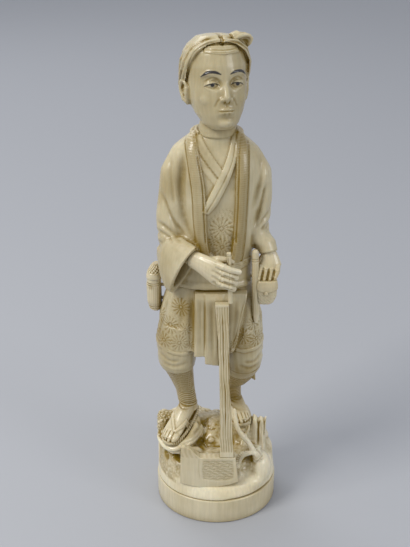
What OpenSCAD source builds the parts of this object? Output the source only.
// Carved okimono of a woodcutter who stands on a rocky oval base, with his axe set down before him.
// The carving is sectional: each section is cut from its own piece and pegged or glued to the next.
// +X is to the viewer's right, the figure faces -Y, +Z is up. The origin is the middle of the underside.

/* [Plinth] */
// Width of the oval plinth
plinth_w = 60; // [56:0.5:72]
// Depth of the oval plinth, front to back
plinth_d = 54; // [50:0.5:64]
// Height of the plinth up to the seam under the ground
plinth_h = 13; // [8:0.5:20]
// Radius of the hole left by the tusk's nerve canal
canal_r = 5; // [3:0.25:7]
// Thickness of the plug that closes the canal
plug_t = 4; // [2:0.25:6]

/* [Ground] */
// Height of the smooth front shelf above the plinth
shelf_h = 6; // [5:0.25:8]
// Height of the highest rock above the plinth
crown_h = 29; // [26:0.5:34]
// Width of the seam groove between plinth and ground
seam = 0.6; // [0.3:0.1:1]
// Thickness of the standing twig
twig_d = 2.2; // [1.6:0.1:3]
// Height of the stump above the plinth
stump_h = 32; // [28:0.5:35]

/* [Legs and feet] */
// Height of the trouser hem above the ground's crown
leg_h = 35; // [32:0.5:40]
// Width of the shanks above the ankle
shank_w = 9.2; // [8:0.2:11]
// Length of a sandal
sandal_l = 27; // [24:0.5:30]
// Width of a sandal at its ball
sandal_w = 11.6; // [10:0.2:13]
// Thickness of the straw sole
sole_t = 2.2; // [1.5:0.1:3]
// Downward slope of the right foot
foot_slope = 18; // [10:1:22]
// Outward turn of the right foot
foot_turn = 31; // [20:1:38]

/* [Garments] */
// Height of the skirt block, hem of the trousers to the waist joint
skirt_h = 44; // [38:0.5:50]
// Width of the skirt block at the thighs
skirt_w = 49.5; // [45:0.5:54]
// Depth of the skirt block
skirt_d = 29; // [26:0.5:32]
// Height of the torso block, from the waist joint to the collar
torso_h = 69; // [62:0.5:76]
// Width of the torso between the sleeves
torso_w = 37; // [34:0.5:40]
// Depth of the torso
torso_d = 27; // [25:0.5:30]
// Half thickness of the upper sleeves
sleeve_r = 7.3; // [6.3:0.1:8.3]
// Height that the coat's lapel bands stand above its cloth
lapel_rise = 0.75; // [0.4:0.05:1]
// Depth of the kimono's front below the open coat
kimono_sink = 1.25; // [0.6:0.05:1.5]
// Drop of the right sleeve's cuff
cuff_drop = 25; // [22:0.5:28]
// Thickness of the apron's hanging panels
apron_t = 2; // [1.4:0.1:2.6]

/* [Head and hands] */
// Height of the head, chin to crown
head_h = 36.5; // [33:0.5:40]
// Width of the head without the cloth
head_w = 25; // [22:0.25:28]
// Thickness of the head cloth
cloth_t = 1.4; // [0.8:0.1:2]
// Depth of the eye hollows below the brow
eye_hollow = 1.6; // [0.8:0.1:2.2]
// Thickness of the head cloth's rolled folds
cloth_roll_d = 2.1; // [1.4:0.1:2.6]
// Radius of the neck's tenon
neck_r = 7.2; // [6:0.1:8]
// Turn of the head towards its left shoulder
head_turn = 15; // [0:1:25]
// Backward tilt of the head
head_tilt = 7; // [0:1:12]
// Radius of the wrist tenons
wrist_r = 2.6; // [2:0.1:3]
// Thickness of a finger
finger_d = 2.9; // [2.4:0.1:3.3]

/* [Axe and stick] */
// Length of the axe head, cutting edge to poll
axe_l = 28.2; // [25:0.2:31]
// Height of the axe head where the haft goes in
axe_tall = 16.4; // [14:0.2:19]
// Thickness of the axe head at the haft
axe_t = 4; // [3.4:0.1:5]
// Length of the haft above the axe head
haft_l = 80.5; // [70:0.5:86]
// Width of the haft at its foot
haft_w = 6.4; // [5:0.1:7.5]
// Thickness of the haft
haft_t = 3.6; // [3:0.1:4.4]
// Length of the thin stick held in the right hand
stick_l = 24; // [18:0.5:30]
// Radius of the thin stick
stick_r = 1.05; // [0.8:0.05:1.2]

/* [Hip pieces] */
// Length of the pipe case
pipe_case_l = 36; // [30:0.5:42]
// Width of the pipe case
pipe_case_w = 3.6; // [3:0.1:4.4]
// Width of the tobacco pouch
pouch_w = 9.4; // [8:0.2:11]
// Height of the tobacco pouch
pouch_h = 11.4; // [9.5:0.2:13]
// Thickness of the tobacco pouch
pouch_t = 5.4; // [4.4:0.1:6.4]
// Width of the case at the right hip
hip_case_w = 7; // [6:0.1:8]
// Height of the hip case without its lid
hip_case_h = 17; // [15:0.5:20]
// Height of the hip case's carved lid
hip_lid_h = 7; // [5:0.2:9]

/* [Joints] */
// Radius of the dowels in the base and under the feet
dowel_r = 1.5; // [1:0.1:2]
// Radius of the waist dowel
waist_dowel_r = 3; // [2.2:0.1:4]
// Length of the waist dowel
waist_dowel_l = 20; // [14:1:26]
// Radius of the small pegs behind the hip pieces
peg_r = 0.8; // [0.6:0.05:1]
// Glue gap round each dowel, peg and tenon
glue = 0.04; // [0.02:0.01:0.1]

/* [Hidden] */
eps = 0.01;
ivory = [0.86, 0.80, 0.66];
aged_ivory = [0.78, 0.70, 0.53];
stained_ivory = [0.70, 0.61, 0.44];

// Levels of the sections, from the underside up
crown_z = plinth_h + crown_h;
hem_z = crown_z + leg_h;
waist_z = hem_z + skirt_h;
collar_z = waist_z + torso_h;
// The body leans a little to its right of the base's middle
body_x = -2.5;
thigh_d = skirt_d / 2;

function unit(v) = v / norm(v);
function ease(t) = let (c = min(1, max(0, t))) c * c * (3 - 2 * c);
// Point of a rounded oval at angle a: power 2 is an ellipse, and a higher power is squarer
function oval_at(a, rx, ry, power) = [
    rx * sign(cos(a)) * pow(abs(cos(a)), 2 / power),
    ry * sign(sin(a)) * pow(abs(sin(a)), 2 / power)];
// Level ring of a block, from [x, y, z, half width, half depth, power]
function level_ring(r, n) = [for (i = [0 : n - 1])
    let (q = oval_at(360 * i / n, r[3], r[4], r[5])) [r[0] + q.x, r[1] + q.y, r[2]]];
// Rings across a bent limb, from stations [x, y, z, half across, half along the reference]
function limb_rings(stations, along, n) = [for (k = [0 : len(stations) - 1]) let (
        before = stations[max(0, k - 1)],
        after = stations[min(len(stations) - 1, k + 1)],
        d = unit([after.x - before.x, after.y - before.y, after.z - before.z]),
        s = unit(cross(along, d)),
        t = cross(d, s),
        c = stations[k])
    [for (i = [0 : n - 1]) let (a = 360 * i / n)
        [c.x, c.y, c.z] + c[3] * cos(a) * s + c[4] * sin(a) * t]];

// Closed solid through rings that all have the same number of points
module skin(rings) {
    n = len(rings[0]);
    last = len(rings) - 1;
    sides = [for (k = [0 : last - 1], i = [0 : n - 1], half = [0, 1]) let (
            a = k * n + i,
            b = k * n + (i + 1) % n,
            c = (k + 1) * n + (i + 1) % n,
            d = (k + 1) * n + i)
        half == 0 ? [a, d, c] : [a, c, b]];
    foot = [for (i = [0 : n - 1]) i];
    top = [for (i = [n - 1 : -1 : 0]) last * n + i];
    polyhedron(points = [for (r = rings, p = r) p], faces = concat(sides, [foot, top]), convexity = 6);
}
module block(table, n = 32) skin([for (r = table) level_ring(r, n)]);
module limb(stations, along = [0, 0, 1], n = 14) skin(limb_rings(stations, along, n));
// Forms that are carved in one piece run together into one faceted body
module carved() resize([0, 0, 0]) children();
module oval(w, d) polygon([for (i = [0 : 119]) [w / 2 * cos(3 * i), d / 2 * sin(3 * i)]]);
// Cylinder from one point along a direction
module rod_from(at, dir, r, l) {
    d = unit(dir);
    translate(at) rotate([0, acos(d.z), atan2(d.y, d.x)]) cylinder(r = r, h = l, $fn = 48);
}

// Plinth and its dowels
base_dowel_x = plinth_w * 0.27;
base_dowel_l = min(plinth_h, 9) * 0.8;
base_dowel_rise = shelf_h * 0.45;
module plinth() {
    color(ivory) difference() {
        linear_extrude(plinth_h) oval(plinth_w, plinth_d);
        translate([0, 0, -eps]) cylinder(r = canal_r, h = plinth_h + 2 * eps, $fn = 64);
        base_dowel_holes();
    }
}
module base_dowel_holes() {
    for (side = [-1, 1])
        translate([side * base_dowel_x, 0, plinth_h - base_dowel_l - glue])
            cylinder(r = dowel_r + glue, h = base_dowel_l + base_dowel_rise + 2 * glue, $fn = 32);
}
module base_dowels() {
    color(aged_ivory) for (side = [-1, 1])
        translate([side * base_dowel_x, 0, plinth_h - base_dowel_l])
            cylinder(r = dowel_r, h = base_dowel_l + base_dowel_rise, $fn = 32);
}
module nerve_plug() {
    color(aged_ivory) cylinder(r = canal_r - glue, h = plug_t, $fn = 64);
}

// Ground: rockwork, stump and twig, cut from one slab of tusk
ground_rim = 0.4;
// Share of a rock that stands at a point: full inside the oval, and gone a half size beyond it
function pad(x, y, at, size) = ease(3 - 2 * norm([(x - at.x) / size.x, (y - at.y) / size.y]));
// Height of the right sandal's sloping seat over the plinth
function seat_height(x, y) = right_foot_xyz.z - plinth_h + tan(foot_slope)
    * ((x - right_foot_xyz.x) * sin(foot_turn) + (y - right_foot_xyz.y) * cos(foot_turn));
function rock_top(x, y) = shelf_h + ease((y + plinth_d / 2) / 4) + max([
    (seat_height(x, y) + 0.6 - shelf_h) * pad(x, y, [-18, -5], [9.5, 11.5]),
    (crown_h + 3.6 - shelf_h) * pad(x, y, [-26.5, -1], [3.4, 6]),
    (crown_h + 1.2 - shelf_h) * pad(x, y, [11.5, 5], [6, 11]),
    (crown_h - 0.8 - shelf_h) * pad(x, y, [-7, 10], [9, 9]),
    (crown_h * 0.66 - shelf_h) * pad(x, y, [0, 1], [17, 14]),
    (crown_h * 0.75 - shelf_h) * pad(x, y, [-2, -15.5], [10, 2.6]),
    (crown_h * 0.68 - shelf_h) * pad(x, y, [16, -12], [8, 5]),
    (crown_h * 0.56 - shelf_h) * pad(x, y, [-2, 6], [24, 15]), 0]);
module ground_body() {
    n = 60;
    shares = [0.985, 0.93, 0.86, 0.78, 0.69, 0.6, 0.5, 0.4, 0.3, 0.18, 0.05];
    function edge(i, inset) = let (a = 360 * i / n)
        [(plinth_w / 2 - inset) * cos(a), (plinth_d / 2 - inset) * sin(a)];
    function top_point(i, share) = let (p = edge(i, ground_rim) * share) [p.x, p.y, rock_top(p.x, p.y)];
    skin(concat(
        [[for (i = [0 : n - 1]) let (p = edge(i, ground_rim + seam)) [p.x, p.y, 0]]],
        [[for (i = [0 : n - 1]) let (p = edge(i, ground_rim)) [p.x, p.y, seam]]],
        [[for (i = [0 : n - 1]) let (p = edge(i, ground_rim), q = p * 0.97)
            [p.x, p.y, rock_top(q.x, q.y) - 1]]],
        [for (share = shares) [for (i = [0 : n - 1]) top_point(i, share)]]));
}
stump_at = [plinth_w / 2 - 8.4, -0.5];
module stump() {
    block([
        [stump_at.x + 0.2, stump_at.y - 3, shelf_h - 2, 6, 6.5, 2.8],
        [stump_at.x + 0.2, stump_at.y - 2, shelf_h + 9, 5.6, 4.4, 2.8],
        [stump_at.x, stump_at.y - 0.6, stump_h - 8, 5.2, 3, 3],
        [stump_at.x, stump_at.y, stump_h, 5.2, 2.6, 3.4]], 26);
}
twig_y = -11;
module twig() {
    r = twig_d / 2;
    z = crown_h;
    limb([
        [18.2, twig_y - 3, z - 15, r * 1.5, r * 1.5],
        [17.6, twig_y - 2.6, z - 7, r * 1.25, r * 1.25],
        [14.4, twig_y - 2, z - 1.6, r * 1.1, r],
        [10.4, twig_y - 1, z + 3.6, r, r],
        [8.9, twig_y + 0.4, z + 8.2, r, r],
        [8.6, twig_y + 1.4, z + 14, r * 0.8, r * 0.8]], [0, 1, 0], 10);
}
module rock_holes() {
    translate([-24.7, -16.5, shelf_h + 11.5]) sphere(r = 2, $fn = 20);
    translate([-19.6, -18.5, shelf_h + 12.5]) sphere(r = 2.8, $fn = 20);
    translate([15.2, -18, shelf_h + 7]) sphere(r = 4.2, $fn = 20);
}
module ground() {
    color(aged_ivory) difference() {
        carved() difference() {
            translate([0, 0, plinth_h]) difference() {
                union() {
                    ground_body();
                    stump();
                    twig();
                }
                rock_holes();
            }
            right_foot_at() foot_seat();
            left_foot_at() foot_seat();
            axe_at() axe_outline(axe_t + 2 * glue, 2 * glue);
        }
        base_dowel_holes();
        foot_dowel_holes();
    }
}

// Feet in straw sandals. The heel's underside is at the origin and the toes point to -Y
heel_y = 2.5;
function sole_half(y) = let (t = (heel_y - y) / sandal_l)
    sandal_w / 2 * (0.72 + 0.28 * ease((t - 0.2) / 0.45)) * pow(max(0, 1 - pow(abs(2 * t - 1), 5)), 0.5);
module sole_outline(grow = 0) {
    steps = 26;
    ys = [for (i = [0 : steps]) heel_y + grow - (sandal_l + 2 * grow) * i / steps];
    function half(y) = max(0.3, sole_half(min(heel_y, max(heel_y - sandal_l, y))) + grow);
    polygon(concat([for (y = ys) [half(y), y]], [for (i = [steps : -1 : 0]) [-half(ys[i]), ys[i]]]));
}
module foot_seat() linear_extrude(crown_h) sole_outline(glue);
module foot() {
    linear_extrude(sole_t) sole_outline();
    l = sandal_l - 1.5;
    w = sandal_w - 1.8;
    lift = sole_t - 0.3;
    limb([
        [0, heel_y - 0.6, lift + 2.6, w * 0.26, 2.4],
        [0, heel_y - 2, lift + 3.6, w * 0.36, 3.6],
        [0, heel_y - l * 0.25, lift + 4.4, w * 0.42, 4.4],
        [0, heel_y - l * 0.42, lift + 3.8, w * 0.45, 3.8],
        [0, heel_y - l * 0.62, lift + 2.8, w * 0.48, 2.8],
        [0, heel_y - l * 0.8, lift + 2.1, w * 0.5, 2.1],
        [0, heel_y - l * 0.93, lift + 1.7, w * 0.44, 1.7],
        [0, heel_y - l * 0.99, lift + 1.4, w * 0.28, 1.3]], [0, 0, 1], 18);
}
right_foot_xyz = [-11.8, 3.5, crown_z + 4];
left_foot_xyz = [7.6, 16.6, crown_z + 0.2];
left_foot_turn = 13;
module right_foot_at() translate(right_foot_xyz) rotate([foot_slope, 0, -foot_turn]) children();
module left_foot_at() translate(left_foot_xyz) rotate([0, 0, left_foot_turn]) children();

foot_dowel_l = 9;
module foot_dowel_pair(r, extra) {
    right_foot_at() translate([0, heel_y - sandal_l * 0.3, -foot_dowel_l / 2 - extra])
        cylinder(r = r, h = foot_dowel_l + 2 * extra, $fn = 32);
    left_foot_at() translate([0, heel_y - sandal_l * 0.3, -foot_dowel_l / 2 - extra])
        cylinder(r = r, h = foot_dowel_l + 2 * extra, $fn = 32);
}
module foot_dowel_holes() foot_dowel_pair(dowel_r + glue, glue);
module foot_dowels() color(aged_ivory) foot_dowel_pair(dowel_r, 0);

// Legs in ribbed gaiters, each with a round tenon that goes up into the skirt block
tenon_r = 3.6;
tenon_l = 7;
right_hem = [-18.6, -2.4, hem_z];
left_hem = [11.8, -3.6, hem_z - 2];
module leg_tenon(at, r, extra)
    translate(at - [0, 0, extra]) cylinder(r = r, h = tenon_l + 2 * extra, $fn = 40);
module right_leg() {
    s = shank_w / 2;
    h = right_hem;
    z = crown_z;
    color(stained_ivory) difference() {
        union() {
            carved() union() {
                block([
                    [-13.6, 0.6, z + 7.4, s * 0.92, s * 1.02, 2],
                    [-14.4, 0.4, z + 12.5, s, s * 1.04, 2],
                    [-15.4, -0.3, z + 19.6, s * 1.02, s * 1.12, 2],
                    [h.x + 1.6, h.y + 1, h.z - 8, s * 1.28, s * 1.38, 2],
                    [h.x + 0.4, h.y + 0.2, h.z - 3, s * 1.5, s * 1.6, 2],
                    [h.x, h.y, h.z, s * 1.56, s * 1.66, 2]], 28);
                right_foot_at() foot();
            }
            leg_tenon(h - [0, 0, eps], tenon_r, 0);
        }
        foot_dowel_holes();
    }
}
module left_leg() {
    s = shank_w / 2;
    h = left_hem;
    foot_at = left_foot_xyz;
    color(stained_ivory) difference() {
        union() {
            carved() union() {
                block([
                    [foot_at.x + 1.6, foot_at.y - 4.6, foot_at.z + 4.4, s * 0.82, s * 0.98, 2],
                    [foot_at.x + 1, foot_at.y - 6.4, foot_at.z + 9.5, s * 0.86, s * 0.96, 2],
                    [foot_at.x + 0.4, foot_at.y - 9.8, foot_at.z + 17.5, s * 0.94, s * 1.08, 2],
                    [h.x - 2, h.y + 4, h.z - 9.5, s * 1.12, s * 1.24, 2],
                    [h.x - 0.6, h.y + 1.2, h.z - 4.6, s * 1.42, s * 1.5, 2],
                    [h.x, h.y, h.z, s * 1.54, s * 1.6, 2]], 28);
                left_foot_at() foot();
            }
            leg_tenon(h - [0, 0, eps], tenon_r, 0);
        }
        foot_dowel_holes();
    }
}

// Skirt block: hips, tucked-up kimono, short trousers and the panels that hang in front
kimono_hem = 10.5;
module thighs() {
    w = skirt_w / 2;
    d = thigh_d;
    x = body_x - 0.5;
    block([
        [x, 0, hem_z + kimono_hem + 2, w * 0.98, d * 0.98, 2.8],
        [x, 0, hem_z + skirt_h * 0.4, w, d * 1.02, 2.7],
        [x, 0, hem_z + skirt_h * 0.6, w * 0.97, d * 1.02, 2.5],
        [x, 0, hem_z + skirt_h * 0.8, w * 0.88, d * 0.98, 2.4],
        [x, 0, waist_z, w * 0.75, d * 0.9, 2.2]]);
    block([
        [right_hem.x, right_hem.y, right_hem.z, 8, d * 0.72, 2.2],
        [right_hem.x - 0.4, right_hem.y + 0.4, right_hem.z + 2.6, 9, d * 0.82, 2.2],
        [right_hem.x - 0.4, right_hem.y + 1, right_hem.z + kimono_hem * 0.8, 9.6, d * 0.9, 2.3],
        [right_hem.x + 0.6, right_hem.y + 1.8, right_hem.z + kimono_hem + 6, 10.6, d * 0.96, 2.3],
        [right_hem.x + 3, 0, right_hem.z + skirt_h * 0.56, 11, d * 0.96, 2.3]], 28);
    block([
        [left_hem.x, left_hem.y, left_hem.z, 7.6, d * 0.66, 2.2],
        [left_hem.x + 0.6, left_hem.y + 0.6, left_hem.z + 2.8, 8.6, d * 0.78, 2.2],
        [left_hem.x + 0.6, left_hem.y + 1.6, left_hem.z + kimono_hem * 0.8, 9.6, d * 0.88, 2.3],
        [left_hem.x - 0.4, left_hem.y + 2.8, left_hem.z + kimono_hem + 6, 10.4, d * 0.95, 2.3],
        [left_hem.x - 3, 0, left_hem.z + skirt_h * 0.56, 11, d * 0.96, 2.3]], 28);
}
apron_front = thigh_d + apron_t * 1.15;
// A hanging panel, from its outline in x and in height above the hem
module panel(outline, front, t) {
    translate([body_x, -front, hem_z]) rotate([90, 0, 0]) translate([0, 0, -t])
        linear_extrude(t) polygon(outline);
}
module skirt() {
    top = skirt_h - 1;
    color(ivory) difference() {
        carved() union() {
            thighs();
            panel([[-8.2, 11], [-3.2, 11.4], [-2.6, top], [-7.6, top]], apron_front - 0.6, apron_t + 3);
            panel([[-3.2, 7.6], [3.4, 6.6], [5, top], [-3, top]], apron_front, apron_t + 4);
            panel([[4, 14], [9, 13], [11.4, 18], [15.6, top], [4, top]], apron_front - 0.4, apron_t + 3.4);
        }
        leg_tenon(right_hem, tenon_r + glue, glue);
        leg_tenon(left_hem, tenon_r + glue, glue);
        waist_dowel_hole();
        hip_pegs(peg_r + glue, glue);
    }
}
module waist_dowel_hole() translate([body_x, 0, waist_z - waist_dowel_l / 2 - glue])
    cylinder(r = waist_dowel_r + glue, h = waist_dowel_l + 2 * glue, $fn = 40);
module waist_dowel() color(aged_ivory) translate([body_x, 0, waist_z - waist_dowel_l / 2])
    cylinder(r = waist_dowel_r, h = waist_dowel_l, $fn = 40);

// Torso block: coat, sash and both sleeves
chest_x = -1;
right_elbow = [chest_x - torso_w * 0.53, -2.5, waist_z + torso_h * 0.34];
// The right cuff's rim, from its upper corner to its hanging one
cuff_top = [-9.4, -18.8, waist_z + torso_h * 0.335];
cuff_low = cuff_top + [-10.6, 6.8, -cuff_drop];
left_elbow = [chest_x + torso_w * 0.48, 0.6, waist_z + torso_h * 0.36];
right_wrist = [-11, -16.4, waist_z + torso_h * 0.24];
right_wrist_dir = unit([8, -7, 1]);
left_wrist = [22.6, -5, waist_z + torso_h * 0.22];
left_wrist_dir = unit([3.4, -3, -9]);
wrist_tenon_l = 9;
// The coat's form, or the same form grown by a layer's thickness
module coat(grow = 0) {
    w = torso_w / 2;
    d = torso_d / 2;
    z = waist_z;
    h = torso_h;
    rings = [
        [body_x, 0, z, w, d * 0.97, 2.4],
        [body_x + 0.5, 0, z + h * 0.08, w * 0.96, d * 0.94, 2.6],
        [body_x + 1.2, 0.2, z + h * 0.18, w * 0.92, d * 0.92, 2.8],
        [chest_x, 0.3, z + h * 0.26, w * 0.92, d * 0.95, 2.8],
        [chest_x, 0.6, z + h * 0.42, w * 0.95, d * 1.02, 2.6],
        [chest_x, 1, z + h * 0.6, w * 1.02, d * 1.04, 2.4],
        [chest_x, 1.4, z + h * 0.75, w * 1.08, d * 0.98, 2.4],
        [chest_x - 0.2, 1.8, z + h * 0.85, w * 1.06, d * 0.88, 2.3],
        [chest_x - 0.2, 2, z + h * 0.905, w * 0.95, d * 0.8, 2.2],
        [chest_x - 0.1, 2, z + h * 0.95, w * 0.74, d * 0.72, 2.1],
        [chest_x, 1.6, z + h * 0.98, w * 0.58, d * 0.68, 2],
        [chest_x, 1.2, z + h, w * 0.5, d * 0.64, 2]];
    block([for (r = rings) [r[0], r[1], r[2], r[3] + grow, r[4] + grow, r[5]]]);
}
// Creases between the sleeves and the body, cut by a round gouge. Each point gives shares of the torso's
// width, depth and height, and then the gouge's radius.
right_crease = [[-0.384, -0.24, 0.87, 0.8], [-0.395, -0.307, 0.768, 1.5], [-0.4, -0.34, 0.638, 1.8],
    [-0.368, -0.374, 0.507, 1.8], [-0.319, -0.415, 0.391, 1.4], [-0.281, -0.45, 0.341, 0.8]];
left_crease = [[0.449, -0.17, 0.87, 0.8], [0.486, -0.256, 0.739, 1.5], [0.497, -0.241, 0.623, 1.8],
    [0.47, -0.244, 0.507, 1.7], [0.422, -0.281, 0.391, 1.2]];
module crease(path) limb([for (p = path)
    [chest_x + torso_w * p[0], torso_d * p[1], waist_z + torso_h * p[2], p[3], p[3]]], [1, 0, 0], 6);
// Lines on the front, as shares of the torso's width from the chest's middle and of its height
function on_front(p) = [chest_x + torso_w * p.x, waist_z + torso_h * p.y];
right_lapel = [[-0.314, 1.02], [-0.262, 0.855], [-0.208, 0.68], [-0.19, 0.49], [-0.17, 0.325],
    [-0.14, 0.238], [-0.065, 0.2]];
left_lapel = [[0.303, 1.02], [0.308, 0.855], [0.303, 0.68], [0.292, 0.49], [0.276, 0.325],
    [0.257, 0.226], [0.2, 0.183]];
under_collar = [[-0.238, 1.01], [-0.162, 0.919], [-0.065, 0.841], [0.032, 0.777], [0.087, 0.745]];
upper_collar = [[0.232, 1.01], [0.192, 0.887], [0.124, 0.777], [0.032, 0.672], [-0.081, 0.559],
    [-0.151, 0.501]];
kimono_front = [[-0.259, 1.04], [-0.208, 0.855], [-0.143, 0.68], [-0.116, 0.478], [-0.1, 0.304],
    [-0.07, 0.229], [0, 0.197], [0.168, 0.183], [0.222, 0.232], [0.235, 0.377], [0.243, 0.536],
    [0.238, 0.71], [0.235, 0.855], [0.232, 1.04]];
sash_rise = 0.5;
module front_of() rotate([90, 0, 0]) linear_extrude(torso_d) children();
module line_of(path, w) for (i = [1 : len(path) - 1])
    hull() for (p = [path[i - 1], path[i]]) translate(on_front(p)) circle(d = w, $fn = 10);
// A band laid along a line on the front, with its face at a level off the coat
module front_band(path, w, level) intersection() {
    coat(level);
    front_of() line_of(path, w);
}
// Bare throat, which keeps its wall in front of the neck's socket
module throat() translate([neck_at.x, neck_at.y, collar_z - neck_tenon_l - 2])
    cylinder(r = neck_r + 1.1, h = neck_tenon_l + 2, $fn = 32);
// Edge of the coat's collar, from one lapel round the nape to the other
module nape_roll() limb([for (a = [-32 : 22.2 : 212]) let (r = 0.5 + sin(max(0, min(180, a))) * 0.3)
    [neck_at.x + 9.6 * cos(a), neck_at.y + 0.4 + 9 * sin(a), collar_z - 0.6, 1 + r, 0.9 + r]], [0, 0, 1], 6);
// A sleeve's ring: its middle, half its height and half its thickness, as directions
function sleeve_ring(at, up, side, n = 22) = [for (i = [0 : n - 1])
    at + cos(360 * i / n) * side + sin(360 * i / n) * up];
module right_sleeve() {
    r = sleeve_r;
    e = right_elbow;
    shoulder = [chest_x - torso_w * 0.42, 1.4, waist_z + torso_h * 0.85];
    limb([
        [shoulder.x + 7, shoulder.y, shoulder.z + 1, r * 0.4, r * 0.6],
        [shoulder.x + 1.4, shoulder.y, shoulder.z, r * 0.8, r * 0.9],
        [shoulder.x - 1.4, shoulder.y - 0.2, shoulder.z - 8, r * 1.02, r * 1.1],
        [e.x + 1.6, e.y + 3, e.z + 17, r, r * 1.14],
        [e.x, e.y + 1.6, e.z + 7, r * 0.98, r * 1.12],
        [e.x + 0.4, e.y, e.z - 3, r * 0.9, r]], [0, 1, 0], 24);
    middle = (cuff_top + cuff_low) / 2;
    up = (cuff_top - cuff_low) / 2;
    skin([
        sleeve_ring(e + [-0.4, 4.6, -8], [0, 1, cuff_drop * 0.3], [r * 0.62, -r * 0.1, 0]),
        sleeve_ring(e + [-0.6, 0.6, -10], [-0.2, 0.6, cuff_drop * 0.46], [r * 0.86, r * 0.2, 0]),
        sleeve_ring(e + [0.4, -5, -11], [up.x * 0.3, up.y * 0.4, cuff_drop * 0.5], [r * 0.78, r * 0.42, 0]),
        sleeve_ring(middle + [-2, 3, 0.2], up * 0.98, [r * 0.62, r * 0.56, 0]),
        sleeve_ring(middle, up, [r * 0.5, r * 0.52, 0])]);
}
module left_sleeve() {
    r = sleeve_r;
    e = left_elbow;
    shoulder = [chest_x + torso_w * 0.42, 1.4, waist_z + torso_h * 0.85];
    limb([
        [shoulder.x - 7, shoulder.y, shoulder.z + 1.2, r * 0.4, r * 0.6],
        [shoulder.x - 1.4, shoulder.y, shoulder.z - 0.6, r * 0.8, r * 0.9],
        [shoulder.x + 1.6, shoulder.y - 0.2, shoulder.z - 8, r * 1.02, r * 1.1],
        [e.x + 0.4, e.y + 1.6, e.z + 14, r * 0.98, r * 1.12],
        [e.x, e.y + 0.6, e.z + 3, r * 0.94, r * 1.1],
        [e.x + 0.8, e.y - 1.2, e.z - 4, r * 0.82, r * 0.96],
        [left_wrist.x - 0.6, left_wrist.y + 1.2, left_wrist.z + 2.4, r * 0.62, r * 0.72],
        [left_wrist.x, left_wrist.y, left_wrist.z - 0.4, r * 0.58, r * 0.62]], [0, 1, 0], 24);
}
module wrist_bore(at, dir, r, extra)
    rod_from(at - dir * (wrist_tenon_l + extra), dir, r, wrist_tenon_l + 2 * extra);
// The cuff is open round the wrist, with a wall of a sixth of the sleeve's thickness
module cuff_hollow() {
    r = sleeve_r;
    middle = (cuff_top + cuff_low) / 2;
    up = (cuff_top - cuff_low) / 2;
    skin([
        sleeve_ring(middle + [-4, 4.4, 0.4], up * 0.5, [r * 0.26, r * 0.24, 0], 16),
        sleeve_ring(middle + [1, -0.9, -0.1], up * 0.86, [r * 0.35, r * 0.37, 0], 16)]);
}
module torso() {
    color(ivory) difference() {
        carved() difference() {
            union() {
                difference() {
                    union() {
                        coat();
                        right_sleeve();
                        left_sleeve();
                    }
                    difference() {
                        front_of() polygon([for (p = kimono_front) on_front(p)]);
                        coat(-kimono_sink);
                    }
                    crease(right_crease);
                    crease(left_crease);
                }
                throat();
                front_band(under_collar, 3.5, -kimono_sink * 0.5);
                front_band(upper_collar, 4.6, 0);
                front_band(right_lapel, 4.8, lapel_rise);
                front_band(left_lapel, 4.7, lapel_rise);
                front_band([[-0.08, 0.194], [0.08, 0.162], [0.3, 0.16]], 3.3, sash_rise);
                front_band([[-0.43, 0.015], [0.35, 0.015]], 3.6, sash_rise);
                nape_roll();
            }
            cuff_hollow();
            right_hand_form();
            left_hand_form();
        }
        neck_socket();
        waist_dowel_hole();
        wrist_bore(right_wrist, right_wrist_dir, wrist_r + glue, glue);
        wrist_bore(left_wrist, left_wrist_dir, wrist_r + glue, glue);
        pouch_pegs(peg_r + glue, glue);
    }
}

// Head, with the neck's tenon set down into the collar
neck_tenon_l = 10;
neck_at = [chest_x + 0.5, 1, collar_z];
head_up = 1.6;
module neck_socket() translate(neck_at - [0, 0, neck_tenon_l])
    cylinder(r = neck_r + glue, h = neck_tenon_l + 2, $fn = 60);
module head_at() translate(neck_at + [0, 0, head_up]) rotate([-head_tilt, 0, head_turn]) children();
module head_rings(grow) {
    w = head_w / 2 + grow;
    d = head_w * 0.6 + grow;
    h = head_h;
    block([
        [0, -7.5, 0, w * 0.34, d * 0.34, 2],
        [0, -5.6, h * 0.06, w * 0.6, d * 0.56, 2],
        [0, -3.4, h * 0.18, w * 0.82, d * 0.78, 2],
        [0, -1.4, h * 0.34, w * 0.95, d * 0.93, 2.1],
        [0, -0.4, h * 0.52, w, d * 0.99, 2.1],
        [0, 0.2, h * 0.7, w * 1.01, d * 1.02, 2.1],
        [0, 0.4, h * 0.84, w * 0.93, d * 0.96, 2.1],
        [0, 0.6, h * 0.93, w * 0.74, d * 0.8, 2],
        [0, 0.8, h * 0.985, w * 0.46, d * 0.52, 2],
        [0, 0.8, h, w * 0.2, d * 0.24, 2]], 28);
}
module head_cloth_form() {
    w = head_w / 2 + cloth_t;
    d = head_w * 0.6 + cloth_t;
    h = head_h;
    t = cloth_t;
    block([
        [0, 3.4, h * 0.18, w * 0.62, d * 0.5, 2.1],
        [0, 3.2, h * 0.3, w * 0.86, d * 0.76, 2.2],
        [0, 2.6, h * 0.46, w * 0.98, d * 0.86, 2.2],
        [0, 1.6, h * 0.62, w * 1.02, d * 0.93, 2.2],
        [0, 0.6, h * 0.74, w * 1.02, d * 1.02, 2.2],
        [0, 0.4, h * 0.86, w * 0.95, d * 0.98, 2.2],
        [0, 0.6, h * 0.94, w * 0.8, d * 0.84, 2.2],
        [0, 0.8, h + t * 0.5, w * 0.54, d * 0.58, 2],
        [0, 0.8, h + t, w * 0.24, d * 0.28, 2]], 28);
}
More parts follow.
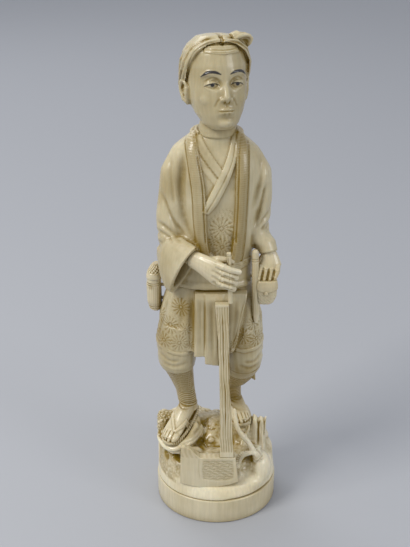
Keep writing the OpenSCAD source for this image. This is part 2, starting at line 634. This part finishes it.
// The cloth is cut away below its edge on the forehead
module head_cloth() difference() {
    head_cloth_form();
    rotate([90, 0, 0]) linear_extrude(head_w) polygon([for (p = [
        [-0.56, 0.27], [-0.525, 0.755], [-0.43, 0.865], [-0.276, 0.934], [-0.09, 0.953], [0.076, 0.953],
        [0.224, 0.926], [0.376, 0.85], [0.495, 0.735], [0.56, 0.27]]) [head_w * p.x, head_h * p.y]]);
}
// Rolled folds of the cloth, from the tuck above the forehead down behind the ears
module cloth_rolls(side) {
    s = side * head_w;
    h = head_h;
    r = cloth_roll_d / 2;
    limb([
        [s * 0.02, -11.4, h * 0.972, r * 0.8, r * 0.7], [s * 0.256, -10.6, h * 0.95, r, r * 0.8],
        [s * 0.424, -8.6, h * 0.866, r, r * 0.85], [s * 0.528, -4.6, h * 0.723, r * 1.05, r * 0.9],
        [s * 0.556, -0.6, h * 0.597, r, r * 0.85], [s * 0.56, 3.8, h * 0.466, r, r * 0.8],
        [s * 0.53, 5.4, h * 0.345, r * 0.9, r * 0.7]], [0, 1, 0], 6);
    limb([
        [s * 0.02, -8.2, h * 1.01, r * 0.8, r * 0.7], [s * 0.24, -7.8, h * 0.984, r, r * 0.8],
        [s * 0.44, -5.8, h * 0.893, r * 1.05, r * 0.85], [s * 0.548, -1.8, h * 0.75, r * 1.1, r * 0.9],
        [s * 0.568, 3.2, h * 0.62, r * 1.05, r * 0.85], [s * 0.544, 7.8, h * 0.482, r, r * 0.8],
        [s * 0.49, 9.2, h * 0.33, r * 0.9, r * 0.7]], [0, 1, 0], 6);
    limb([
        [s * 0.02, -4.3, h * 1.024, r * 0.7, r * 0.5], [s * 0.266, -3.8, h * 0.998, r * 0.8, r * 0.6],
        [s * 0.464, -1.2, h * 0.9, r * 0.95, r * 0.7], [s * 0.544, 3.6, h * 0.767, r, r * 0.75],
        [s * 0.528, 8.8, h * 0.63, r * 0.9, r * 0.7], [s * 0.44, 12.6, h * 0.42, r * 0.8, r * 0.6],
        [s * 0.36, 13.4, h * 0.31, r * 0.7, r * 0.5]], [0, 1, 0], 6);
}
// Hem of the cloth round the nape
module cloth_hem() limb([for (a = [10 : 20 : 170])
    [head_w * 0.535 * cos(a), 2.6 + 11.8 * sin(a), head_h * (0.34 - 0.06 * sin(a)), 1.1, 1.3]], [0, 0, 1], 6);
// Eye hollows with the closed ball of the eye in them, brows, cheeks, lips and chin
module eye_hollows() for (side = [-1, 1])
    translate([side * head_w * 0.208, -head_w * 0.556 - 1.9, head_h * 0.512])
        scale([head_w * 0.17, 1.9 + eye_hollow, head_h * 0.078]) sphere(r = 1, $fn = 12);
module face_forms() {
    w = head_w;
    h = head_h;
    for (side = [-1, 1]) {
        translate([side * w * 0.204, -w * 0.44, h * 0.505]) scale([2.7, 2.3, 1.9]) sphere(r = 1, $fn = 10);
        limb([
            [side * w * 0.07, -w * 0.55, h * 0.6, 0.9, 0.8], [side * w * 0.2, -w * 0.55, h * 0.622, 1, 1],
            [side * w * 0.31, -w * 0.5, h * 0.618, 0.9, 0.9],
            [side * w * 0.39, -w * 0.43, h * 0.59, 0.5, 0.5]], [0, 1, 0], 6);
        translate([side * w * 0.264, -w * 0.448, h * 0.35]) rotate([0, 0, side * 28])
            scale([3.6, 1.9, 3.4]) sphere(r = 1, $fn = 10);
    }
    limb([
        [0, -w * 0.545, h * 0.58, 1.2, 1.1], [0, -w * 0.57, h * 0.5, 1.2, 1.3],
        [0, -w * 0.61, h * 0.42, 1.4, 1.6], [0, -w * 0.65, h * 0.355, 1.7, 1.7],
        [0, -w * 0.62, h * 0.315, 1.5, 1.2]], [0, 1, 0], 12);
    for (side = [-1, 1]) translate([side * w * 0.075, -w * 0.6, h * 0.34]) scale([1.2, 1.5, 1.1])
        sphere(r = 1, $fn = 8);
    for (lip = [[0.232, 0.85], [0.196, 0.95]]) limb([
        [-w * 0.14, -w * 0.576, h * lip[0], 0.4, 0.4],
        [-w * 0.06, -w * 0.604, h * lip[0], lip[1], lip[1] * 0.8],
        [w * 0.06, -w * 0.604, h * lip[0], lip[1], lip[1] * 0.8],
        [w * 0.14, -w * 0.576, h * lip[0], 0.4, 0.4]], [0, 0, 1], 8);
    translate([0, -w * 0.5, h * 0.08]) scale([3.6, 2.6, 2.4]) sphere(r = 1, $fn = 10);
}
module ear(side) translate([side * head_w * 0.49, 0.6, head_h * 0.38]) rotate([12, 0, side * 24])
    limb([
        [0, 0, -4.2, 1, 1.4],
        [0, 0, -2, 1.3, 2],
        [0, 0, 1, 1.5, 2.6],
        [0, 0, 3.4, 1.2, 2.2],
        [0, 0, 4.6, 0.6, 1]], [0, 1, 0], 12);
module head() {
    color(ivory) union() {
        carved() union() {
            head_at() {
                difference() {
                    union() {
                        head_rings(0);
                        head_cloth();
                    }
                    eye_hollows();
                }
                face_forms();
                for (side = [-1, 1]) {
                    ear(side);
                    cloth_rolls(side);
                }
                cloth_hem();
            }
            block([
                [neck_at.x, neck_at.y, neck_at.z - 0.5, neck_r * 0.97, neck_r * 0.97, 2],
                [neck_at.x, neck_at.y - 0.2, neck_at.z + 6, neck_r * 1.02, neck_r * 1.08, 2],
                [neck_at.x, neck_at.y - 1, neck_at.z + 14, neck_r * 1.1, neck_r * 1.2, 2]], 28);
        }
        translate(neck_at - [0, 0, neck_tenon_l - glue]) cylinder(r = neck_r, h = neck_tenon_l, $fn = 60);
    }
}
// The rolled fold that stands up where the cloth is knotted
module head_cloth_knot() {
    t = cloth_t;
    color(ivory) carved() head_at() difference() {
        translate([head_w * 0.3, -head_w * 0.3, head_h * 0.94]) rotate([0, 10, 12])
            limb([
                [-3.4, 0, 1.4, 1.6, 2.2],
                [-1, 0.2, 2.4, 2.2, 2.6],
                [2.6, 0.4, 1.9, 2.6, 3],
                [5.4, 0.4, 0.6, 2.6, 2.8]], [0, 1, 0], 16);
        head_cloth();
        head_rings(0);
    }
}

// Right hand, closed on the thin stick
stick_top = [4.3, -24.6, waist_z + torso_h * 0.335];
stick_foot = stick_top + stick_l * unit([1.1, 0.4, -23]);
stick_up = unit(stick_top - stick_foot);
module stick_solid(r, extra)
    rod_from(stick_foot - stick_up * extra, stick_up, r, norm(stick_top - stick_foot) + 2 * extra);
module stick() color(ivory) stick_solid(stick_r, 0);
palm = right_wrist + [11.6, -8, -2.4];
// Depth of the groove that the stick presses into the fingers and thumb
grip_cut = 0.35;
module right_hand_form() {
    f = finger_d / 2;
    // Wrist and back of the hand
    limb([
        [right_wrist.x - 0.5, right_wrist.y + 0.4, right_wrist.z, 2.8, 4],
        [right_wrist.x + 3.4, right_wrist.y - 2.6, right_wrist.z - 0.8, 2.9, 4.6],
        [right_wrist.x + 7, right_wrist.y - 5.2, right_wrist.z - 2, 2.9, 5.4],
        [right_wrist.x + 10.4, right_wrist.y - 7.4, right_wrist.z - 3.4, 2.8, 6],
        [right_wrist.x + 12.8, right_wrist.y - 8.8, right_wrist.z - 4.2, 2.3, 5.8]], [0, 0, 1], 18);
    // Four fingers that pass before the stick and close round it
    round_stick = f + stick_r - grip_cut;
    for (i = [0 : 3]) {
        drop = -i * (finger_d - 0.1);
        reach = [1.6, 0.4, 0, -0.6][i];
        limb([
            [palm.x - 1.4, palm.y - 0.8, palm.z + 3.8 + drop, f * 0.9, f],
            [palm.x + 1.6, stick_top.y - round_stick, palm.z + 3.2 + drop, f, f],
            [palm.x + 4.4, stick_top.y - round_stick + 0.1, palm.z + 1.8 + drop * 0.97, f, f],
            [palm.x + 6.6 + reach, stick_top.y - 1, palm.z + 0.4 + drop * 0.95, f * 0.9, f * 0.9],
            [palm.x + 6 + reach, stick_top.y + round_stick * 0.95, palm.z - 0.6 + drop * 0.92, f * 0.7,
                f * 0.7]], [0, 0, 1], 10);
    }
    // Thumb, laid over the stick from behind
    limb([
        [right_wrist.x + 6, right_wrist.y - 3.4, right_wrist.z + 0.2, 1.8, 2],
        [palm.x - 0.6, palm.y + 2.4, palm.z + 4.6, 1.8, 1.8],
        [palm.x + 3.2, stick_top.y + stick_r + 1.5 - grip_cut, palm.z + 4.4, 1.5, 1.5],
        [palm.x + 6, stick_top.y + stick_r + 1.2, palm.z + 3.2, 1, 1]], [0, 0, 1], 12);
}
module right_hand() {
    color(ivory) difference() {
        union() {
            carved() right_hand_form();
            wrist_bore(right_wrist, right_wrist_dir, wrist_r, 0);
        }
        stick_solid(stick_r + glue, 1);
    }
}

// Left hand, laid on the pouch at the left hip
module left_hand_form() {
    f = finger_d / 2;
    w = left_wrist;
    limb([
        [w.x, w.y, w.z + 0.2, 3.3, 2.9],
        [w.x + 0.4, w.y - 1.2, w.z - 2.4, 4.2, 2.5],
        [w.x + 0.6, w.y - 2.4, w.z - 5, 5.2, 2.3],
        [w.x + 0.2, w.y - 3.4, w.z - 7, 4.8, 1.8]], [0, 1, 0], 18);
    for (i = [0 : 3]) {
        side = w.x - 3.4 + i * 2.5;
        short = [0, 0.4, 0.2, -1.4][i];
        limb([
            [side, w.y - 3, w.z - 5, f * 0.95, f],
            [side - 0.4, w.y - 4.4, w.z - 8, f, f],
            [side - 0.9 - i * 0.15, w.y - 5.2, w.z - 11 - short * 0.5, f * 0.92, f * 0.92],
            [side - 1.2 - i * 0.2, w.y - 5, w.z - 13.2 - short, f * 0.66, f * 0.66]], [0, 1, 0], 10);
    }
    limb([
        [w.x - 2.4, w.y - 1, w.z - 2.2, 1.5, 1.6],
        [w.x - 4.6, w.y - 2, w.z - 5, 1.5, 1.5],
        [w.x - 5.2, w.y - 3.2, w.z - 8, 1.1, 1.1]], [0, 1, 0], 10);
}
module left_hand() {
    color(ivory) union() {
        carved() left_hand_form();
        wrist_bore(left_wrist, left_wrist_dir, wrist_r, 0);
    }
}

// Axe: the head stands on the ground's shelf and the haft is tenoned into its eye
axe_inset = 5.4;
axe_y = axe_inset - plinth_d / 2;
axe_foot = plinth_h + shelf_h + 1.2;
axe_slot = 1.2;
axe_edge_x = -17.8;
haft_x = 4.7;
module axe_at() translate([axe_edge_x, axe_y, axe_foot - axe_slot]) children();
// Side face of the axe head, as thick as asked, grown by a clearance
module axe_outline(t, grow) {
    l = axe_l;
    h = axe_tall + axe_slot;
    rotate([90, 0, 0]) translate([0, 0, -t / 2]) linear_extrude(t) polygon([
        [-grow, h * 0.1 - grow], [l * 0.17, h * 0.04 - grow], [l * 0.34, -grow], [l * 0.6, -grow],
        [l * 0.85, h * 0.1 - grow], [l + grow, h * 0.2 - grow],
        [l * 0.945 + grow, h + grow], [l * 0.346, h + grow], [l * 0.28, h * 1.1 + grow],
        [l * 0.19, h * 1.26 + grow], [l * 0.09, h * 1.33 + grow], [l * 0.02 - grow, h * 1.32 + grow]]);
}
eye_w = haft_w * 0.7;
eye_t = haft_t * 0.55;
eye_l = axe_tall * 0.6;
haft_foot = axe_foot + axe_tall;
module axe_head() {
    color(aged_ivory) difference() {
        axe_at() axe_outline(axe_t, 0);
        translate([haft_x - eye_w / 2 - glue, axe_y - eye_t / 2 - glue, haft_foot - eye_l - glue])
            cube([eye_w + 2 * glue, eye_t + 2 * glue, eye_l + 1]);
    }
}
// The haft leans a little to its right and back on the apron, and is slimmest above its middle
haft_lean = -2.9;
haft_back = atan((-apron_front - haft_t / 2 - glue - axe_y) / haft_l);
haft_rise = haft_t / 2 * sin(haft_back) + glue;
module axe_haft() {
    w = haft_w / 2;
    color(aged_ivory) union() {
        translate([haft_x, axe_y, haft_foot + haft_rise]) rotate([90 - haft_back, 0, 0])
            translate([0, 0, -haft_t / 2]) linear_extrude(haft_t) polygon([
            [-w, 0], [w, 0], [w * 0.95 + haft_lean * 0.1, haft_l * 0.13],
            [w * 0.76 + haft_lean * 0.45, haft_l * 0.46], [w * 0.76 + haft_lean * 0.65, haft_l * 0.72],
            [w * 0.95 + haft_lean, haft_l], [haft_lean - w * 0.95, haft_l],
            [haft_lean * 0.65 - w * 0.76, haft_l * 0.72], [haft_lean * 0.45 - w * 0.76, haft_l * 0.46],
            [haft_lean * 0.1 - w * 0.95, haft_l * 0.13]]);
        translate([haft_x - eye_w / 2, axe_y - eye_t / 2, haft_foot - eye_l])
            cube([eye_w, eye_t, eye_l + 1]);
    }
}

// Pipe case and tobacco pouch at the left hip
pipe_top = [16.4, -9.8, waist_z + torso_h * 0.262];
pipe_end = pipe_top + pipe_case_l * unit([1.2, -0.6, -35]);
pouch_at = [pipe_end.x + pipe_case_w / 2 + pouch_w / 2 - 2.2, -9.8, left_wrist.z - 17.8];
module pipe_case() {
    w = pipe_case_w / 2;
    d = pipe_end - pipe_top;
    function at(share, wide, deep) = concat(pipe_top + d * share, [w * wide, w * deep]);
    color(aged_ivory) carved() difference() {
        limb([
            at(0, 0.5, 0.5), at(0.03, 0.84, 0.7), at(0.3, 0.95, 0.74),
            at(0.6, 1, 0.76), at(0.9, 0.9, 0.7), at(1, 0.5, 0.45)], [0, 1, 0], 16);
        thighs();
        coat();
        left_hand_form();
    }
}
module tobacco_pouch() {
    w = pouch_w / 2;
    t = pouch_t / 2;
    h = pouch_h;
    p = pouch_at;
    color(aged_ivory) difference() {
        carved() difference() {
            block([
                [p.x - 0.6, p.y, p.z - h / 2, w * 0.62, t * 0.6, 2.6],
                [p.x - 0.4, p.y, p.z - h * 0.4, w * 0.84, t * 0.86, 2.6],
                [p.x, p.y, p.z - h * 0.15, w, t, 2.8],
                [p.x, p.y, p.z + h * 0.3, w, t * 0.96, 3],
                [p.x, p.y, p.z + h / 2, w * 0.92, t * 0.8, 3]], 28);
            pipe_case_space();
            left_hand_form();
            thighs();
        }
        pouch_pegs(peg_r + glue, glue);
    }
}
module pipe_case_space() {
    d = pipe_end - pipe_top;
    w = pipe_case_w / 2 + glue;
    limb([[pipe_top.x, pipe_top.y, pipe_top.z, w, w * 0.8],
        [pipe_end.x, pipe_end.y, pipe_end.z, w, w * 0.8]], [0, 1, 0], 16);
}
pouch_peg_l = 9;
module pouch_pegs(r, extra) {
    rod_from([pouch_at.x - 1, pouch_at.y + 0.6 - extra, pouch_at.z + pouch_h * 0.2], [-0.5, 1, 0.25], r,
        pouch_peg_l + 2 * extra);
}
module pouch_peg() color(aged_ivory) pouch_pegs(peg_r, 0);

// Case at the right hip, with a carved lid, pegged to the skirt
hip_case_at = [body_x - 0.5 - skirt_w * 0.455 - hip_case_w / 2 - 0.4, 2.5, waist_z - 17.5];
hip_case_d = 9;
module hip_case() {
    w = hip_case_w / 2;
    d = hip_case_d / 2;
    h = hip_case_h;
    p = hip_case_at;
    color(aged_ivory) difference() {
        carved() difference() {
            block([
                [p.x + 0.8, p.y, p.z, w * 0.5, d * 0.5, 2.2],
                [p.x + 0.5, p.y, p.z + h * 0.08, w * 0.84, d * 0.86, 2.3],
                [p.x + 0.1, p.y, p.z + h * 0.3, w * 0.98, d, 2.4],
                [p.x, p.y, p.z + h * 0.8, w, d, 2.4],
                [p.x + 0.2, p.y, p.z + h, w * 0.92, d * 0.94, 2.4]], 28);
            thighs();
            right_sleeve();
        }
        hip_pegs(peg_r + glue, glue);
    }
}
module hip_case_lid() {
    w = hip_case_w / 2;
    d = hip_case_d / 2;
    p = hip_case_at + [0, 0, hip_case_h];
    h = hip_lid_h;
    color(aged_ivory) carved() difference() {
        block([
            [p.x + 0.2, p.y, p.z, w * 1.02, d * 1.02, 2.4],
            [p.x + 0.3, p.y, p.z + h * 0.3, w, d, 2.4],
            [p.x + 0.9, p.y, p.z + h * 0.75, w * 0.72, d * 0.76, 2.3],
            [p.x + 1.3, p.y, p.z + h, w * 0.4, d * 0.45, 2]], 28);
        right_sleeve();
        coat();
        thighs();
    }
}
hip_peg_l = 8;
module hip_pegs(r, extra) {
    for (rise = [0.35, 0.75])
        rod_from(hip_case_at + [-0.8 - extra, 0, hip_case_h * rise], [1, 0, 0], r, hip_peg_l + 2 * extra);
}
module hip_case_pegs() color(aged_ivory) hip_pegs(peg_r, 0);

plinth();
nerve_plug();
ground();
base_dowels();
right_leg();
left_leg();
foot_dowels();
skirt();
waist_dowel();
torso();
head();
head_cloth_knot();
right_hand();
left_hand();
stick();
axe_head();
axe_haft();
pipe_case();
tobacco_pouch();
pouch_peg();
hip_case();
hip_case_lid();
hip_case_pegs();
